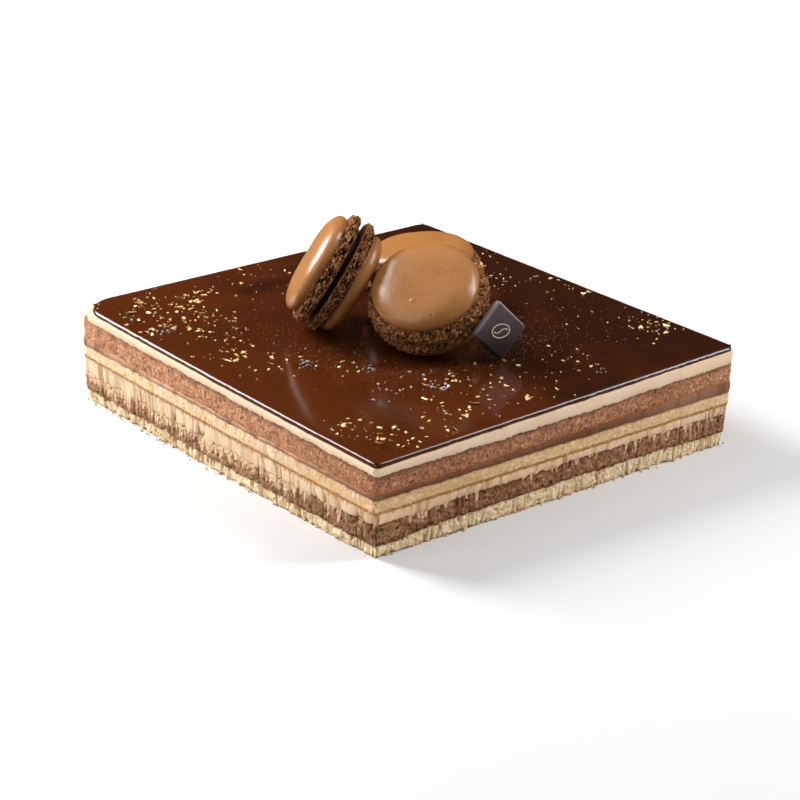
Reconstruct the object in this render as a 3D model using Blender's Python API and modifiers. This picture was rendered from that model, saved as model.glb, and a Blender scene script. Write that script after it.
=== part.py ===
"""An opera cake: an oblong block of eight layers under a dark glaze, whose top rises gently from the
front corner to the back one, with three coffee macarons and a square of chocolate standing on it.

Metres, +Z up. The origin is under the middle of the block, on the surface that it stands on. The two
trimmed faces that show the layers best are -Y and -X, and the corner between them is the front corner.
"""

import math
from typing import NamedTuple

import bmesh
import bpy
from mathutils import Matrix, Vector, noise

MM = 0.001
GAP = 0.3  # clearance between touching pieces, mm

# The block, in mm
WIDTH = 180.0  # along X
DEPTH = 186.0  # along Y
EDGE_LINES = (0.0, 2.0, 5.0, 10.0, 22.0, 48.0)  # grid lines, by their distance in from each side
GLAZE_EDGE = 0.6  # how far the glaze's upper edge is rounded

# The macarons, in mm
FOOT_RADIUS = 23.0
CAP_RADIUS = 20.6
FILLING_INSET = 3.0
SLOT = 1.2  # from the middle of the filling to a shell's flat side
FOOT_HEIGHT = 4.9
CAP_HEIGHT = 6.6
CAP_BELLY = 0.25  # share of the cap's height at which it is widest
CAP_FULLNESS = 0.55  # below 1, the cap's shoulder is fuller than an ellipse's
RUFFLE = 0.35  # how far the foot's edge wanders in and out
TURN_STEPS = 24

# The chocolate square, in mm and degrees
SQUARE_SIDE = 16.6
SQUARE_THICKNESS = 3.4
SQUARE_BEVEL = 0.7
SQUARE_X = 6.2
SQUARE_Y = -47.4
SQUARE_HEADING = -99.5  # the way its face looks, from +X towards +Y
SQUARE_LEAN = 9.0  # how far it leans back


class Level(NamedTuple):
    """Height of a boundary between layers: at the block's corners, and its dip midway along a face."""

    front: float  # the corner at -X, -Y
    right: float  # the corner at +X, -Y
    left: float  # the corner at -X, +Y
    back: float  # the corner at +X, +Y
    right_dip: float = 0.0  # midway along the -Y face
    left_dip: float = 0.0  # midway along the -X face

    def at(self, x, y):
        """Height in mm at a place in mm."""
        u = 2 * x / WIDTH
        v = 2 * y / DEPTH
        near = self.front * (1 - u) + self.right * (1 + u)
        far = self.left * (1 - u) + self.back * (1 + u)
        flat = (near * (1 - v) + far * (1 + v)) / 4
        right_dip = self.right_dip * (1 - u * u) * (1 - v) / 2
        left_dip = self.left_dip * (1 - v * v) * (1 - u) / 2
        return flat - right_dip - left_dip


class Corners(NamedTuple):
    """Radius of each of a layer's upright corners, in mm."""

    front: float
    right: float
    left: float
    back: float

    def radius(self, x, y):
        """Radius of the corner nearest to a place."""
        if y < 0:
            return self.front if x < 0 else self.right
        return self.left if x < 0 else self.back


class Layer(NamedTuple):
    """One layer of the block. Its inset is how far its sides stand in from the widest layer's."""

    name: str
    top: Level
    inset: float
    bulge: float
    corners: Corners
    colour: tuple
    roughness: float


class Macaron(NamedTuple):
    """Place of a macaron's middle, in mm, and the direction in which its upper cap faces."""

    name: str
    x: float
    y: float
    heading: float  # degrees from +X towards +Y
    rise: float  # degrees above level


SPONGE = (0.60, 0.42, 0.22)
COCOA = (0.24, 0.12, 0.07)
CREAM = (0.70, 0.52, 0.32)
SHELL = (0.36, 0.18, 0.065)
DARK = (0.035, 0.012, 0.007)

FOOT = Level(0, 0, 0, 0)
CLOSE = Corners(2, 2.5, 4.5, 3)
LOOSE = Corners(2, 3, 9, 4)
LAYERS = (
    Layer("base_sponge", Level(4.6, 5.6, 5.0, 5.8, -1.6, 0.4), 0.8, 0.2, Corners(3, 3, 6, 4), SPONGE, 0.9),
    Layer("cocoa_sponge_lower", Level(12.4, 13.6, 12.4, 13.6, -1.1, 1), 0.6, 0.1, CLOSE, COCOA, 0.9),
    Layer("coffee_cream_lower", Level(16.6, 17.4, 18.8, 19.0, 0, 0.6), 0.6, 0.2, CLOSE, CREAM, 0.5),
    Layer("almond_sponge", Level(21.9, 22.6, 23.6, 24.4), 0.4, 0.1, CLOSE, SPONGE, 0.85),
    Layer("ganache", Level(23.8, 27.2, 26.8, 29.6, 0.5, 1.2), 0.5, 0.5, CLOSE, COCOA, 0.45),
    Layer("cocoa_sponge_upper", Level(30.9, 35.0, 34.6, 37.8, 1.1, 0.3), 0.5, 0.1, CLOSE, COCOA, 0.9),
    Layer("coffee_cream_upper", Level(33.8, 39.9, 38.4, 42.9, 0.1, 0.6), 0.3, 0.3, LOOSE, CREAM, 0.45),
    Layer("glaze", Level(35.4, 41.5, 40.0, 44.5, 0.1, 0.6), 1.1, 0, Corners(2.5, 4, 14, 5), DARK, 0.12),
)
GLAZE_TOP = LAYERS[-1].top

MACARONS = (
    Macaron("front_macaron", -6.3, -21.4, -152.3, 55.4),
    Macaron("left_macaron", -23.4, 15.0, 137.9, 29.1),
    Macaron("back_macaron", 21.1, 13.8, 171.0, 83.5),
)


def clear_scene():
    """Empties the scene."""
    for thing in list(bpy.data.objects):
        bpy.data.objects.remove(thing, do_unlink=True)


def cake_collection():
    """The collection that holds the pieces."""
    collection = bpy.data.collections.new("opera_cake")
    bpy.context.scene.collection.children.link(collection)
    return collection


def plain_material(name, colour, roughness):
    """A Principled material of one colour."""
    material = bpy.data.materials.new(name)
    material.use_nodes = True
    shader = material.node_tree.nodes["Principled BSDF"]
    shader.inputs["Base Color"].default_value = (*colour, 1)
    shader.inputs["Roughness"].default_value = roughness
    shader.inputs["Metallic"].default_value = 0
    return material


def add_piece(collection, name, mesh, colour, roughness):
    """One named piece with its own material, smooth but for its sharp edges."""
    mesh.materials.clear()
    mesh.materials.append(plain_material(name, colour, roughness))
    mesh.shade_smooth()
    mesh.set_sharp_from_angle(angle=math.radians(40))
    piece = bpy.data.objects.new(name, mesh)
    collection.objects.link(piece)
    return piece


def finished_mesh(bm, name):
    """A mesh of the bmesh, with its faces pointing out."""
    bmesh.ops.recalc_face_normals(bm, faces=bm.faces)
    mesh = bpy.data.meshes.new(name)
    bm.to_mesh(mesh)
    bm.free()
    return mesh


def round_edges(bm, edges, width):
    """Rounds edges to a width in metres."""
    bmesh.ops.bevel(
        bm,
        geom=edges,
        offset=width,
        offset_type="OFFSET",
        segments=2,
        profile=0.5,
        affect="EDGES",
        material=-1,
    )


def grid_lines(half):
    """Grid lines from one side to the other, closest near the sides, where the corners are rounded."""
    outer = [half - line for line in EDGE_LINES]
    return [-line for line in outer] + [0.0] + outer[::-1]


def rounded(x, y, half_x, half_y, corners):
    """Moves a place in a corner's square onto the quarter disc in that square."""
    radius = corners.radius(x, y)
    a = (abs(x) - half_x + radius) / radius
    b = (abs(y) - half_y + radius) / radius
    if min(a, b) <= 0:
        return x, y
    round_x = half_x - radius + radius * a * math.sqrt(1 - b * b / 2)
    round_y = half_y - radius + radius * b * math.sqrt(1 - a * a / 2)
    return math.copysign(round_x, x), math.copysign(round_y, y)


def unit_slab(count):
    """A slab of count by count cells from 0 to 1 in height, with one more row halfway up its sides."""
    bm = bmesh.new()
    bmesh.ops.create_grid(bm, x_segments=count, y_segments=count, size=1)
    raised = bmesh.ops.extrude_face_region(bm, geom=bm.faces[:])["geom"]
    raised = [item for item in raised if isinstance(item, bmesh.types.BMVert)]
    bmesh.ops.translate(bm, verts=raised, vec=(0, 0, 1))
    upright = [edge for edge in bm.edges if edge.verts[0].co.z != edge.verts[1].co.z]
    bmesh.ops.subdivide_edges(bm, edges=upright, cuts=1)
    return bm


def shape_slab(bm, layer, below, count):
    """Moves a unit slab's points to the layer's outline and heights."""
    lowest = 0 if below is FOOT else GAP / 2
    highest = 0 if layer.top is GLAZE_TOP else GAP / 2
    for vert in bm.verts:
        share = vert.co.z
        swell = layer.bulge if 0 < share < 1 else 0
        half_x = WIDTH / 2 - layer.inset + swell
        half_y = DEPTH / 2 - layer.inset + swell
        x = grid_lines(half_x)[round((vert.co.x + 1) / 2 * count)]
        y = grid_lines(half_y)[round((vert.co.y + 1) / 2 * count)]
        x, y = rounded(x, y, half_x, half_y, layer.corners)
        bottom = below.at(x, y) + lowest
        top = layer.top.at(x, y) - highest
        vert.co = Vector((x, y, bottom + (top - bottom) * share)) * MM


def round_upper_edge(bm, width):
    """Rounds the edge that runs all round the top."""
    rim = [edge for edge in bm.edges if edge.calc_face_angle(0) > math.radians(60)]
    upper = [edge for edge in rim if all(face.calc_center_median().z > 0 for face in edge.link_faces)]
    top = [edge for edge in upper if max(face.normal.z for face in edge.link_faces) > 0.9]
    round_edges(bm, top, width)


def build_layer(collection, layer, below):
    """One layer, from the level below it up to its own."""
    count = 2 * len(EDGE_LINES)
    bm = unit_slab(count)
    shape_slab(bm, layer, below, count)
    if layer.top is GLAZE_TOP:
        bmesh.ops.recalc_face_normals(bm, faces=bm.faces)
        round_upper_edge(bm, GLAZE_EDGE * MM)
    return add_piece(collection, layer.name, finished_mesh(bm, layer.name), layer.colour, layer.roughness)


def shell_profile():
    """Outline of a shell from the top of its cap down its outer side, as (radius, height) in mm."""
    shoulder = [math.radians(90 - 18 * step) for step in range(1, 6)]
    dome = [
        (
            CAP_RADIUS * math.cos(angle) ** CAP_FULLNESS,
            FOOT_HEIGHT + CAP_HEIGHT * (CAP_BELLY + (1 - CAP_BELLY) * math.sin(angle)),
        )
        for angle in shoulder
    ]
    foot = [
        (CAP_RADIUS - 0.4, FOOT_HEIGHT),
        (FOOT_RADIUS - 0.6, FOOT_HEIGHT * 0.8),
        (FOOT_RADIUS, FOOT_HEIGHT * 0.4),
        (FOOT_RADIUS - 0.7, 0),
    ]
    return [(0, FOOT_HEIGHT + CAP_HEIGHT), *dome, *foot, (0, 0)]


def filling_profile():
    """Outline of the filling, from the middle of its top to the middle of its underside."""
    radius = FOOT_RADIUS - FILLING_INSET
    half = SLOT - GAP
    return [(0, half), (radius, half), (radius + 0.4, 0), (radius, -half), (0, -half)]


def turned_mesh(profile, name):
    """A profile of (radius, height) in mm turned round the Z axis."""
    bm = bmesh.new()
    points = [bm.verts.new((radius * MM, 0, height * MM)) for radius, height in profile]
    for upper, lower in zip(points, points[1:]):
        bm.edges.new((upper, lower))
    outline = bpy.data.meshes.new(name + "_outline")
    bm.to_mesh(outline)
    bm.free()
    turned = bpy.data.objects.new(name + "_outline", outline)
    bpy.context.scene.collection.objects.link(turned)
    screw = turned.modifiers.new("Turn", "SCREW")
    screw.steps = TURN_STEPS
    screw.render_steps = TURN_STEPS
    screw.use_merge_vertices = True
    screw.merge_threshold = 0.00001
    graph = bpy.context.evaluated_depsgraph_get()
    mesh = bpy.data.meshes.new_from_object(turned.evaluated_get(graph))
    bpy.data.objects.remove(turned, do_unlink=True)
    return mesh


def ruffle_foot(mesh, seed):
    """Makes the foot's edge wander in and out, as baked batter does."""
    for vert in mesh.vertices:
        flat = Vector((vert.co.x, vert.co.y, 0))
        if flat.length < (CAP_RADIUS + 0.5) * MM:
            continue
        wander = noise.noise(Vector((vert.co.x, vert.co.y, vert.co.z + seed * 0.05)) / (5 * MM))
        vert.co += flat.normalized() * wander * RUFFLE * MM


def stand(pieces, turn, x, y):
    """Turns pieces together, and lowers them until the lowest point just clears the glaze."""
    centre = Vector((x, y, 0)) * MM
    clearance = []
    for piece in pieces:
        for vert in piece.data.vertices:
            place = turn @ piece.matrix_basis @ vert.co + centre
            clearance.append(place.z - GLAZE_TOP.at(place.x / MM, place.y / MM) * MM)
    centre.z = GAP * MM - min(clearance)
    for piece in pieces:
        piece.matrix_basis = Matrix.Translation(centre) @ turn @ piece.matrix_basis


def build_macaron(collection, macaron, seed):
    """A macaron's two shells and its filling, standing on the glaze."""
    pieces = []
    for index, side in enumerate(("top", "bottom")):
        name = f"{macaron.name}_{side}"
        mesh = turned_mesh(shell_profile(), name)
        ruffle_foot(mesh, seed + index)
        shell = add_piece(collection, name, mesh, SHELL, 0.45)
        turn_over = Matrix.Rotation(math.pi * index, 4, "X")
        shell.matrix_basis = turn_over @ Matrix.Translation((0, 0, SLOT * MM))
        pieces.append(shell)
    name = f"{macaron.name}_filling"
    pieces.append(add_piece(collection, name, turned_mesh(filling_profile(), name), DARK, 0.4))
    tilt = Matrix.Rotation(math.radians(90 - macaron.rise), 4, "Y")
    turn = Matrix.Rotation(math.radians(macaron.heading), 4, "Z") @ tilt
    stand(pieces, turn, macaron.x, macaron.y)


def build_square(collection):
    """The chocolate square, standing on one corner and leaning back against the front macaron."""
    bm = bmesh.new()
    bmesh.ops.create_cube(bm, size=MM)
    bmesh.ops.scale(bm, vec=(SQUARE_SIDE, SQUARE_SIDE, SQUARE_THICKNESS), verts=bm.verts)
    round_edges(bm, bm.edges[:], SQUARE_BEVEL * MM)
    square = add_piece(collection, "chocolate_square", finished_mesh(bm, "chocolate_square"), DARK, 0.3)
    on_corner = Matrix.Rotation(math.radians(45), 4, "Z")
    lean = Matrix.Rotation(math.radians(90 - SQUARE_LEAN), 4, "X")
    face = Matrix.Rotation(math.radians(SQUARE_HEADING + 90), 4, "Z")
    stand([square], face @ lean @ on_corner, SQUARE_X, SQUARE_Y)


def main():
    """Builds the cake from the foot up."""
    clear_scene()
    collection = cake_collection()
    below = FOOT
    for layer in LAYERS:
        build_layer(collection, layer, below)
        below = layer.top
    for number, macaron in enumerate(MACARONS):
        build_macaron(collection, macaron, 2 * number)
    build_square(collection)


main()
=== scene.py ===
"""Opera cake: a block of eight layers with macarons, a chocolate square, gold leaf, sugar and dust.

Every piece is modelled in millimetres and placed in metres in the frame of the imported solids.
"""

import logging
import math
import random
from dataclasses import dataclass
from enum import Enum
from typing import Any, Callable, Iterable, Sequence

import bmesh
import bpy
from mathutils import Matrix, Vector, noise


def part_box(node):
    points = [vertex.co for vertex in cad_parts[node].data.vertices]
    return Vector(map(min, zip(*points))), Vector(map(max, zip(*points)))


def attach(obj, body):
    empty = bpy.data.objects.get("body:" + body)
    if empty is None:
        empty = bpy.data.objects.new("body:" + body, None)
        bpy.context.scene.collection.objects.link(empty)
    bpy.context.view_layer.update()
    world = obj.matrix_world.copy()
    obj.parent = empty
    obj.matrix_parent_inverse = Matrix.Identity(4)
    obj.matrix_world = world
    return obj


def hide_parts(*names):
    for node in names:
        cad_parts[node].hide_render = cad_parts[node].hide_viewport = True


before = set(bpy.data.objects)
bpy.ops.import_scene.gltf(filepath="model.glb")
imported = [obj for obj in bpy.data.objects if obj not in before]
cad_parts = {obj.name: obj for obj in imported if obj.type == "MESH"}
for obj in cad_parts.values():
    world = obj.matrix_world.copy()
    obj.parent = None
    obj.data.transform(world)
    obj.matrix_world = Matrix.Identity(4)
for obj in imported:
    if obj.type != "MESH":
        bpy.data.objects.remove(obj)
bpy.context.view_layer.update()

MM = 0.001
BODY = "root"
LOG = logging.getLogger("opera_cake")

Colour = tuple[float, float, float]


# ---------------------------------------------------------------------------------------------------
# Small sums
# ---------------------------------------------------------------------------------------------------


def smooth_step(low: float, high: float, value: float) -> float:
    """Rises smoothly from 0 at low to 1 at high, or falls if low is above high."""
    share = min(max((value - low) / (high - low), 0.0), 1.0)
    return share * share * (3 - 2 * share)


def mix(a: float, b: float, share: float) -> float:
    """The value a share of the way from a to b."""
    return a + (b - a) * share


def wander(x: float, y: float, z: float, size: float, seed: float = 0.0) -> float:
    """Smooth noise from about -1 to 1 whose swells are as large as size."""
    return noise.noise((x / size + seed * 7.31, y / size - seed * 3.17, z / size + seed))


def cell_gap(x: float, y: float, z: float, size: float) -> float:
    """How far a place is from the walls between foam cells: 0 in a wall, up to about 1 inside a cell."""
    near = noise.voronoi((x / size, y / size, z / size))[0]
    return near[1] - near[0]


# ---------------------------------------------------------------------------------------------------
# Shader values
# ---------------------------------------------------------------------------------------------------


class Value:
    """A shader number. Arithmetic on it adds Math nodes to its material."""

    def __init__(self, paint: "Paint", socket: bpy.types.NodeSocket) -> None:
        """Wraps an output socket of a material."""
        self.paint = paint
        self.socket = socket

    def _sum(self, operation: str, first: Any, second: Any) -> "Value":
        """Adds one Math node."""
        node = self.paint.add("ShaderNodeMath", {"operation": operation}, {0: first, 1: second})
        return Value(self.paint, node.outputs[0])

    def __add__(self, other: Any) -> "Value":
        """The sum."""
        return self._sum("ADD", self, other)

    def __radd__(self, other: Any) -> "Value":
        """The sum."""
        return self._sum("ADD", other, self)

    def __sub__(self, other: Any) -> "Value":
        """The difference."""
        return self._sum("SUBTRACT", self, other)

    def __rsub__(self, other: Any) -> "Value":
        """The difference, the other way round."""
        return self._sum("SUBTRACT", other, self)

    def __mul__(self, other: Any) -> "Value":
        """The product."""
        return self._sum("MULTIPLY", self, other)

    def __rmul__(self, other: Any) -> "Value":
        """The product."""
        return self._sum("MULTIPLY", other, self)

    def between(self, low: float, high: float) -> "Value":
        """0 below low and 1 above high, smooth in between; falls if low is above high."""
        falling = low > high
        node = self.paint.add(
            "ShaderNodeMapRange",
            {"interpolation_type": "SMOOTHSTEP"},
            {"Value": self, "From Min": min(low, high), "From Max": max(low, high)},
        )
        rise = Value(self.paint, node.outputs[0])
        return 1 - rise if falling else rise


class Paint:
    """Builds one node material."""

    def __init__(self, name: str) -> None:
        """Starts a material with only its output and Principled shader."""
        self.material = bpy.data.materials.new(name)
        self.material.use_nodes = True
        self.tree = self.material.node_tree
        self.shader = self.tree.nodes["Principled BSDF"]
        self.place = self.add("ShaderNodeTexCoord").outputs["Object"]

    def add(self, kind: str, settings: dict | None = None, inputs: dict | None = None) -> bpy.types.Node:
        """Adds a node.

        Args:
            kind: The node's type.
            settings: Its own settings, set first.
            inputs: Values or links of its sockets, by name or number.

        Returns:
            The node.
        """
        node = self.tree.nodes.new(kind)
        for key, setting in (settings or {}).items():
            setattr(node, key, setting)
        for key, value in (inputs or {}).items():
            self.feed(node.inputs[key], value)
        return node

    def feed(self, socket: bpy.types.NodeSocket, value: Any) -> None:
        """Sets a socket to a constant, or links it to a Value or a socket."""
        if isinstance(value, Value):
            value = value.socket
        if isinstance(value, bpy.types.NodeSocket):
            self.tree.links.new(value, socket)
        elif isinstance(value, tuple) and len(value) == 3 and socket.type == "RGBA":
            socket.default_value = (*value, 1)
        else:
            socket.default_value = value

    def attribute(self, name: str) -> Value:
        """A number stored on the piece's points."""
        node = self.add("ShaderNodeAttribute", {"attribute_name": name})
        return Value(self, node.outputs["Fac"])

    def stretched(self, scale: Colour) -> bpy.types.NodeSocket:
        """Object coordinates multiplied by a factor along each axis."""
        return self.add("ShaderNodeMapping", None, {"Vector": self.place, "Scale": scale}).outputs[0]

    def grain(self, size: float, detail: float = 3.0, place: Any = None, warp: float = 0.0) -> Value:
        """Noise from 0 to 1 whose swells are size millimetres across."""
        inputs = {
            "Vector": place or self.place,
            "Scale": 1 / (size * MM),
            "Detail": detail,
            "Roughness": 0.55,
            "Distortion": warp,
        }
        return Value(self, self.add("ShaderNodeTexNoise", None, inputs).outputs["Fac"])

    def cells(self, size: float) -> Value:
        """Distance to the nearest cell's point, in cell sizes; a cell is size millimetres across."""
        node = self.add("ShaderNodeTexVoronoi", None, {"Vector": self.place, "Scale": 1 / (size * MM)})
        return Value(self, node.outputs["Distance"])

    def axis(self, letter: str) -> Value:
        """One object coordinate, in metres."""
        node = self.add("ShaderNodeSeparateXYZ", None, {0: self.place})
        return Value(self, node.outputs[letter])

    def blend(self, share: Any, first: Any, second: Any) -> bpy.types.NodeSocket:
        """Mixes two colours."""
        return self.add("ShaderNodeMix", {"data_type": "RGBA"}, {0: share, 6: first, 7: second}).outputs[2]

    def relief(self, height: Any, depth: float, strength: float) -> bpy.types.NodeSocket:
        """A bump whose full height is depth millimetres."""
        inputs = {"Height": height, "Distance": depth * MM, "Strength": strength}
        return self.add("ShaderNodeBump", None, inputs).outputs[0]

    def surface(self, **inputs: Any) -> bpy.types.Material:
        """Sets the shader's sockets, with _ for a space in their names, and gives the material."""
        for key, value in inputs.items():
            self.feed(self.shader.inputs[key.replace("_", " ")], value)
        return self.material


# ---------------------------------------------------------------------------------------------------
# Finishes
# ---------------------------------------------------------------------------------------------------


@dataclass(frozen=True)
class SpongeFinish:
    """Open-crumbed sponge: a mottled crumb whose pores, pits, knife clefts and gaps between lumps carry
    painted shade, toasted along its lower border.
    """

    name: str
    crumb: Colour
    light: Colour
    # pore is the colour of the painted shade in pores, pits, knife clefts and gaps between lumps
    pore: Colour
    top_edge: Colour
    low_edge: Colour
    top_reach: float  # share of the layer's height that the upper border takes
    low_reach: float
    streak: Colour
    streak_share: float  # how far down the layer the streaks from above reach
    pore_size: float = 1.1
    veil: float = 0.0  # how strongly it is smeared over where the knife dragged
    lumpy: float = 0.35  # how much its lumps of crumb show, in bump and in painted shade between them
    syrup: float = 0.0  # share of its height that a soaked line along its foot takes

    def material(self) -> bpy.types.Material:
        """The node material."""
        paint = Paint(self.name)
        share = paint.attribute("share")
        pit = paint.attribute("pit")
        mottle = paint.grain(1.6 * self.pore_size, 4.0)
        fine = paint.grain(0.5, 2.0)
        broad = paint.grain(34.0, 2.0)
        colour = paint.blend(mottle.between(0.34, 0.68), self.crumb, self.light)
        colour = paint.blend(fine.between(0.48, 0.8) * 0.6, colour, self.light)
        colour = paint.blend(broad.between(0.56, 0.40) * 0.45, colour, self.crumb)
        # Painted shade: darker in the gaps between lumps of crumb.
        lumps = paint.cells(1.6).between(0.25, 0.62)
        colour = paint.blend(lumps * self.lumpy, colour, self.pore)
        # Painted shade in the knife's clefts.
        cleft = paint.attribute("cleft")
        colour = paint.blend(cleft.between(0.25, 1.0) * 0.65, colour, self.pore)
        ragged = share + (paint.grain(1.2, 3.0) - 0.5) * 0.35
        colour = paint.blend(ragged.between(1 - self.top_reach, 1.04) * 0.85, colour, self.top_edge)
        colour = paint.blend(ragged.between(self.low_reach, 0.0) * 0.85, colour, self.low_edge)
        smeared = paint.attribute("smear")
        line = (share + (paint.grain(0.8, 2.0) - 0.5) * 0.10).between(self.syrup * 1.25, self.syrup * 0.85)
        columns = paint.grain(1.7, 2.5, paint.stretched((1, 1, 0.05)))
        ends = paint.grain(3.0, 4.0, paint.stretched((1, 1, 0.22)))
        patch = paint.grain(12.0, 1.0)
        hang = columns * 1.7 + ends + patch * 0.9 + smeared * 0.35 + share * self.streak_share - 2.42
        colour = paint.blend(hang.between(0.0, 0.16) * 0.9, colour, self.streak)
        veil = smeared * paint.grain(5.0, 3.0).between(0.35, 0.6) * self.veil
        colour = paint.blend(veil, colour, self.streak)
        if self.syrup:
            dots = paint.grain(0.8, 3.0).between(0.36, 0.56) * 0.65 + 0.35
            colour = paint.blend(line * dots, colour, self.low_edge)
        # Painted shade in the pores and in the modelled pits.
        pores = paint.cells(self.pore_size).between(0.34, 0.16) * paint.grain(1.9, 1.0).between(0.44, 0.56)
        colour = paint.blend(pores * 0.8, colour, self.pore)
        colour = paint.blend(pit.between(0.15, 0.9), colour, self.pore)
        height = fine * 0.6 + mottle * 0.4 - pores - lumps * self.lumpy
        normal = paint.relief(height, 0.45, 0.9)
        return paint.surface(Base_Color=colour, Roughness=0.85, Normal=normal, Specular_IOR_Level=0.25)


@dataclass(frozen=True)
class CreamFinish:
    """Smooth cream with faint upright knife lines, a tint picked up from its neighbours, and painted shade
    in its knife clefts.
    """

    name: str
    body: Colour
    shade: Colour
    streak: Colour
    streak_share: float
    roughness: float
    grit: float = 0.0
    veil: float = 0.0
    veil_tint: Colour = (0.8, 0.6, 0.4)
    soak: float = 0.0  # how strongly syrup from above runs down it

    def material(self) -> bpy.types.Material:
        """The node material."""
        paint = Paint(self.name)
        upright = paint.stretched((1, 1, 0.07))
        lines = paint.grain(0.8, 3.0, upright)
        broad = paint.grain(3.4, 3.0, upright)
        cloud = paint.grain(9.0, 2.0)
        colour = paint.blend(cloud.between(0.35, 0.7) * 0.6, self.body, self.shade)
        colour = paint.blend(lines.between(0.52, 0.75) * 0.35, colour, self.shade)
        bundles = paint.grain(10.0, 2.0, upright).between(0.42, 0.58)
        drags = broad.between(0.48, 0.62) * (bundles * 0.7 + 0.3) * self.streak_share
        colour = paint.blend(drags, colour, self.streak)
        smeared = paint.attribute("smear") * paint.grain(6.0, 3.0, upright).between(0.30, 0.55)
        colour = paint.blend(smeared * self.veil, colour, self.veil_tint)
        share = paint.attribute("share")
        border = (share + (paint.grain(1.0, 3.0) - 0.5) * 0.5).between(0.14, 0.0)
        colour = paint.blend(border * 0.6, colour, self.streak)
        if self.soak:
            runs = paint.grain(1.3, 3.0, upright)
            soaked = (share + (runs - 0.5) * 1.6).between(0.80, 1.1)
            colour = paint.blend(soaked * self.soak, colour, self.streak)
        specks = paint.cells(1.3).between(0.2, 0.1) * self.grit
        colour = paint.blend(specks, colour, self.streak)
        # Painted shade in the knife's clefts.
        colour = paint.blend(paint.attribute("cleft").between(0.2, 1.0) * 0.8, colour, self.streak)
        normal = paint.relief(lines * 0.6 + broad * 0.5 + paint.grain(0.6, 2.0) * 0.15, 0.25, 0.6)
        return paint.surface(
            Base_Color=colour, Roughness=self.roughness, Normal=normal, Specular_IOR_Level=0.2
        )


@dataclass(frozen=True)
class GlazeFinish:
    """Dark mirror glaze: brown in the mass, cloudy, with a few fine marks, and painted shade that darkens
    it towards +X.
    """

    name: str
    body: Colour
    # deep is the colour of the darker clouds and of the painted shade towards +X
    deep: Colour
    side: Colour

    def material(self) -> bpy.types.Material:
        """The node material."""
        paint = Paint(self.name)
        cloud = paint.grain(38.0, 2.0, warp=0.6)
        # Painted shade: the glaze turns darker towards +X, on top of its random clouds.
        cloud_and_right_shade = cloud + paint.axis("X") * 3.4
        colour = paint.blend(cloud_and_right_shade.between(0.30, 0.72), self.body, self.deep)
        flow = paint.grain(24.0, 2.0) * 0.7 + paint.grain(6.0, 2.0) * 0.1
        normal = paint.relief(flow, 0.35, 0.5)
        side = paint.attribute("share").between(0.55, 0.30)
        colour = paint.blend(side * 0.8, colour, self.side)
        haze = paint.grain(14.0, 3.0).between(0.45, 0.75) * 0.07 + 0.13 + side * 0.35
        return paint.surface(Base_Color=colour, Roughness=haze, Normal=normal, IOR=1.43)


@dataclass(frozen=True)
class ShellFinish:
    """Baked macaron: a satin cap with tiny pores, and a caramel foot, with painted shade in the foot's
    holes and in the cap's burst bubbles.
    """

    name: str
    cap: Colour
    cap_light: Colour
    cap_rim: Colour
    strand: Colour
    strand_light: Colour
    # hole is the colour of the painted shade in the foot's holes and in burst bubbles
    hole: Colour

    def material(self) -> bpy.types.Material:
        """The node material."""
        paint = Paint(self.name)
        foot = paint.attribute("foot")
        pit = paint.attribute("pit")
        rim = paint.attribute("rim")
        mottle = paint.grain(0.9, 4.0)
        cloud = paint.grain(12.0, 2.0)
        cap = paint.blend(mottle.between(0.40, 0.75) * 0.5, self.cap, self.cap_light)
        cap = paint.blend(cloud.between(0.42, 0.7) * 0.4, cap, self.cap_rim)
        cap = paint.blend(rim.between(0.25, 1.0) * 0.7, cap, self.cap_rim)
        dots = paint.cells(0.9).between(0.30, 0.12) * paint.grain(2.0, 1.0).between(0.48, 0.62)
        cap = paint.blend(dots * 0.6, cap, self.cap_light)
        # Painted shade in burst bubbles on the cap.
        cap = paint.blend(pit.between(0.1, 0.8), cap, self.hole)
        lace = paint.grain(1.1, 3.0)
        strand = paint.blend(lace.between(0.42, 0.64), self.strand, self.strand_light)
        # Painted shade in the foot's holes.
        strand = paint.blend(pit.between(0.08, 0.7) * 0.95, strand, self.hole)
        colour = paint.blend(foot.between(0.35, 0.65), cap, strand)
        fine = paint.grain(0.45, 2.0)
        height = mottle * 0.08 + dots * 0.08 + (fine + mottle) * foot
        normal = paint.relief(height, 0.42, 0.7)
        rough = foot.between(0.3, 0.7) * 0.60 + mottle * 0.10 + 0.25
        return paint.surface(Base_Color=colour, Roughness=rough, Normal=normal, Specular_IOR_Level=0.45)


@dataclass(frozen=True)
class PaintedLightChocolateFinish:
    """Moulded chocolate: satin and dark, with painted light that lifts it towards its upper corner and a
    painted highlight along its upper edges.
    """

    name: str
    # low and high are the painted shade at the lower corner and the painted light at the upper one
    low: Colour
    high: Colour
    # Colour of the painted highlight along the upper bevels.
    edge_highlight: Colour
    roughness: float

    def material(self) -> bpy.types.Material:
        """The node material."""
        paint = Paint(self.name)
        cloud = paint.grain(7.0, 3.0)
        # Painted light: lighter towards the upper corner, darker towards the lower one.
        rise = paint.attribute("share") + (cloud - 0.5) * 0.25
        colour = paint.blend(rise.between(0.05, 0.9), self.low, self.high)
        # Painted highlight along the upper bevels.
        colour = paint.blend(paint.attribute("rim") * 0.55, colour, self.edge_highlight)
        normal = paint.relief(cloud, 0.03, 0.7)
        return paint.surface(
            Base_Color=colour,
            Roughness=cloud * 0.1 + self.roughness,
            Normal=normal,
            Coat_Weight=0.4,
            Coat_Roughness=0.2,
        )


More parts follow.
